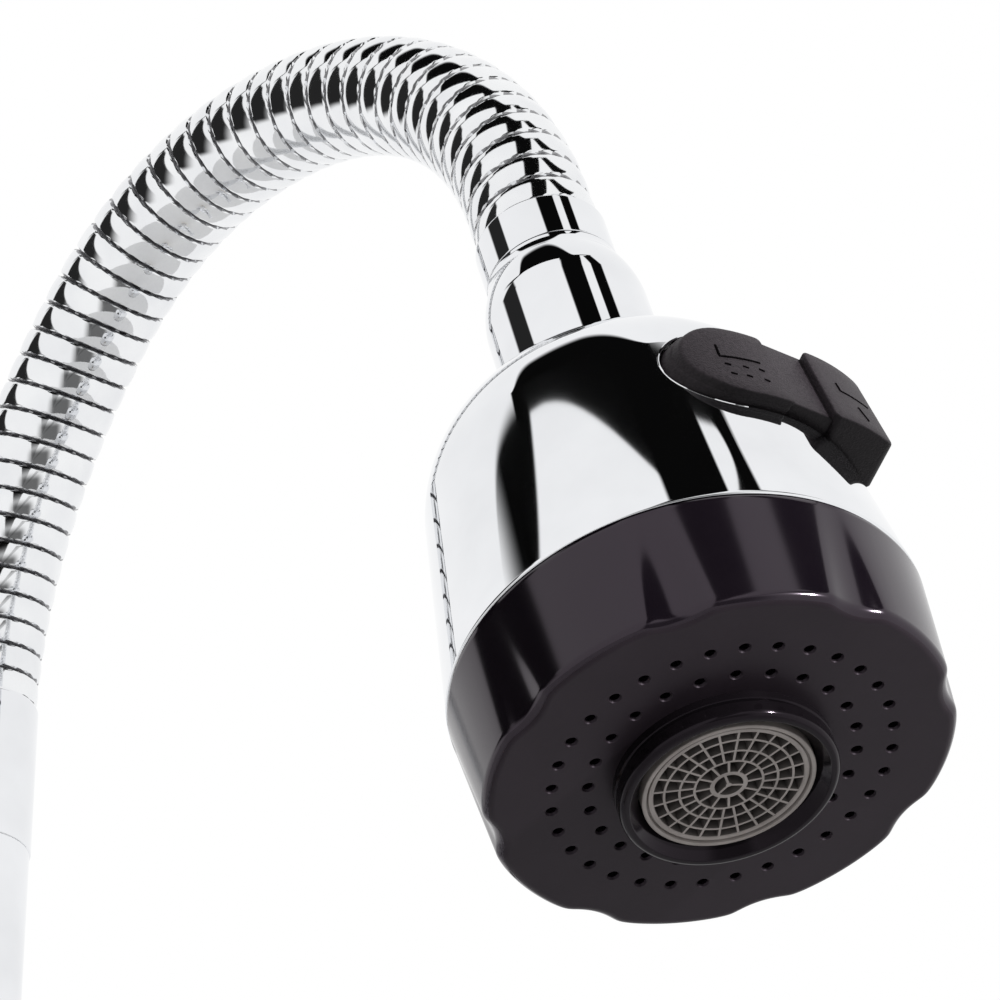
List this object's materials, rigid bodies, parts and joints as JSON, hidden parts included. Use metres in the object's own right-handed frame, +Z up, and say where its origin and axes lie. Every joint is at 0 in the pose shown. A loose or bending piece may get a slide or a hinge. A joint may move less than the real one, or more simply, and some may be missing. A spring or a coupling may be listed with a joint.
{
  "type": "kitchen faucet",
  "caption": "Deck-mounted kitchen faucet with a ribbed bendable metal neck, a bell-shaped spray head with a spray and stream rocker, and a side lever.",
  "frame": {"origin": "middle of the deck seat under the base", "axes": "+Z up, +X from the base towards the spray head, lever on +Y"},
  "size_m": [0.2018, 0.1002, 0.3548],
  "materials": {
    "chrome": "mirror chrome plate",
    "hose_steel": "polished strip-wound steel",
    "black_gloss": "gloss black moulding",
    "rocker_plastic": "fine grained",
    "aerator_plastic": "moulded",
    "inner_plastic": "moulded",
    "ceramic": "lapped",
    "water_tube": "extruded",
    "seal_rubber": "moulded",
    "brass": "machined",
    "steel": "stainless"
  },
  "bodies": {
    "base": {"faucet_body": "chrome", "base_flange": "chrome", "base_gasket": "seal_rubber", "threaded_shank": "brass", "rubber_washer": "seal_rubber", "steel_washer": "steel", "mounting_nut": "brass", "swivel_collar": "chrome", "cartridge_base": "inner_plastic", "fixed_disc": "ceramic", "cartridge_nut": "brass", "bonnet": "chrome"},
    "riser": {"spout_stem": "chrome", "stem_o_rings": "seal_rubber", "stem_slip_ring": "inner_plastic", "lower_ferrule": "chrome", "neck_hose_lower": "hose_steel", "water_tube_lower": "water_tube"},
    "neck_arch": {"neck_hose_arch": "hose_steel", "water_tube_arch": "water_tube"},
    "neck_tip": {"neck_hose_tip": "hose_steel", "water_tube_tip": "water_tube"},
    "hose_end": {"upper_ferrule": "chrome"},
    "head": {"bell_shell": "chrome", "spray_cap": "black_gloss", "face_seal": "seal_rubber", "diverter_core": "inner_plastic", "aerator_housing": "black_gloss", "aerator_insert": "aerator_plastic", "aerator_seal": "seal_rubber", "head_nut": "chrome", "nut_washer": "seal_rubber", "spool_plugs": "inner_plastic", "rocker_pin": "steel"},
    "selector": {"selector_rocker": "rocker_plastic"},
    "spool": {"diverter_spool": "inner_plastic", "spool_seals": "seal_rubber"},
    "lever_carrier": {"spindle_carrier": "inner_plastic", "spindle_pin": "steel"},
    "lever": {"lever": "chrome", "spindle": "brass", "lever_screw": "steel", "lever_plug": "chrome"},
    "disc": {"moving_disc": "ceramic"}
  },
  "joints": [
    {"name": "spout_swivel", "type": "hinge", "parent": "base", "child": "riser", "pos_m": [0, 0, 0.1], "axis": [0, 0, 1], "continuous": true},
    {"name": "neck_lower_bend", "type": "hinge", "parent": "riser", "child": "neck_arch", "pos_m": [0.00605, 0, 0.24754], "axis": [0, 1, 0], "range_deg": [-25, 20], "deforming": ["neck_hose_lower", "water_tube_lower"]},
    {"name": "neck_arch_bend", "type": "hinge", "parent": "neck_arch", "child": "neck_tip", "pos_m": [0.03676, 0, 0.28604], "axis": [0, 1, 0], "range_deg": [-25, 10], "deforming": ["neck_hose_arch", "water_tube_arch"]},
    {"name": "neck_tip_bend", "type": "hinge", "parent": "neck_tip", "child": "hose_end", "pos_m": [0.08959, 0, 0.28258], "axis": [0.5344, 0, 0.8453], "range_deg": [-25, 25], "deforming": ["neck_hose_tip", "water_tube_tip"]},
    {"name": "head_swivel", "type": "hinge", "parent": "hose_end", "child": "head", "pos_m": [0.11801, 0, 0.23798], "axis": [-0.3223, 0, 0.9466], "continuous": true},
    {"name": "selector_rock", "type": "hinge", "parent": "head", "child": "selector", "pos_m": [0.15027, 0, 0.20291], "axis": [-0.3223, 0, 0.9466], "range_deg": [0, 23]},
    {"name": "spool_slide", "type": "slide", "parent": "head", "child": "spool", "axis": [0, 1, 0], "range_m": [-0.007, 0]},
    {"name": "lever_turn", "type": "hinge", "parent": "base", "child": "lever_carrier", "pos_m": [0, 0.026, 0.062], "axis": [0, 1, 0], "range_deg": [-45, 45]},
    {"name": "lever_lift", "type": "hinge", "parent": "lever_carrier", "child": "lever", "pos_m": [0, 0.026, 0.062], "axis": [-1, 0, 0], "range_deg": [0, 22]},
    {"name": "disc_slide", "type": "slide", "parent": "lever_carrier", "child": "disc", "axis": [0, 0, 1], "range_m": [0, 0.0031]}
  ],
  "couplings": [
    {"joint": "spool_slide", "follows": "selector_rock", "m_per_rad": -0.016525},
    {"joint": "disc_slide", "follows": "lever_lift", "m_per_rad": 0.008}
  ]
}
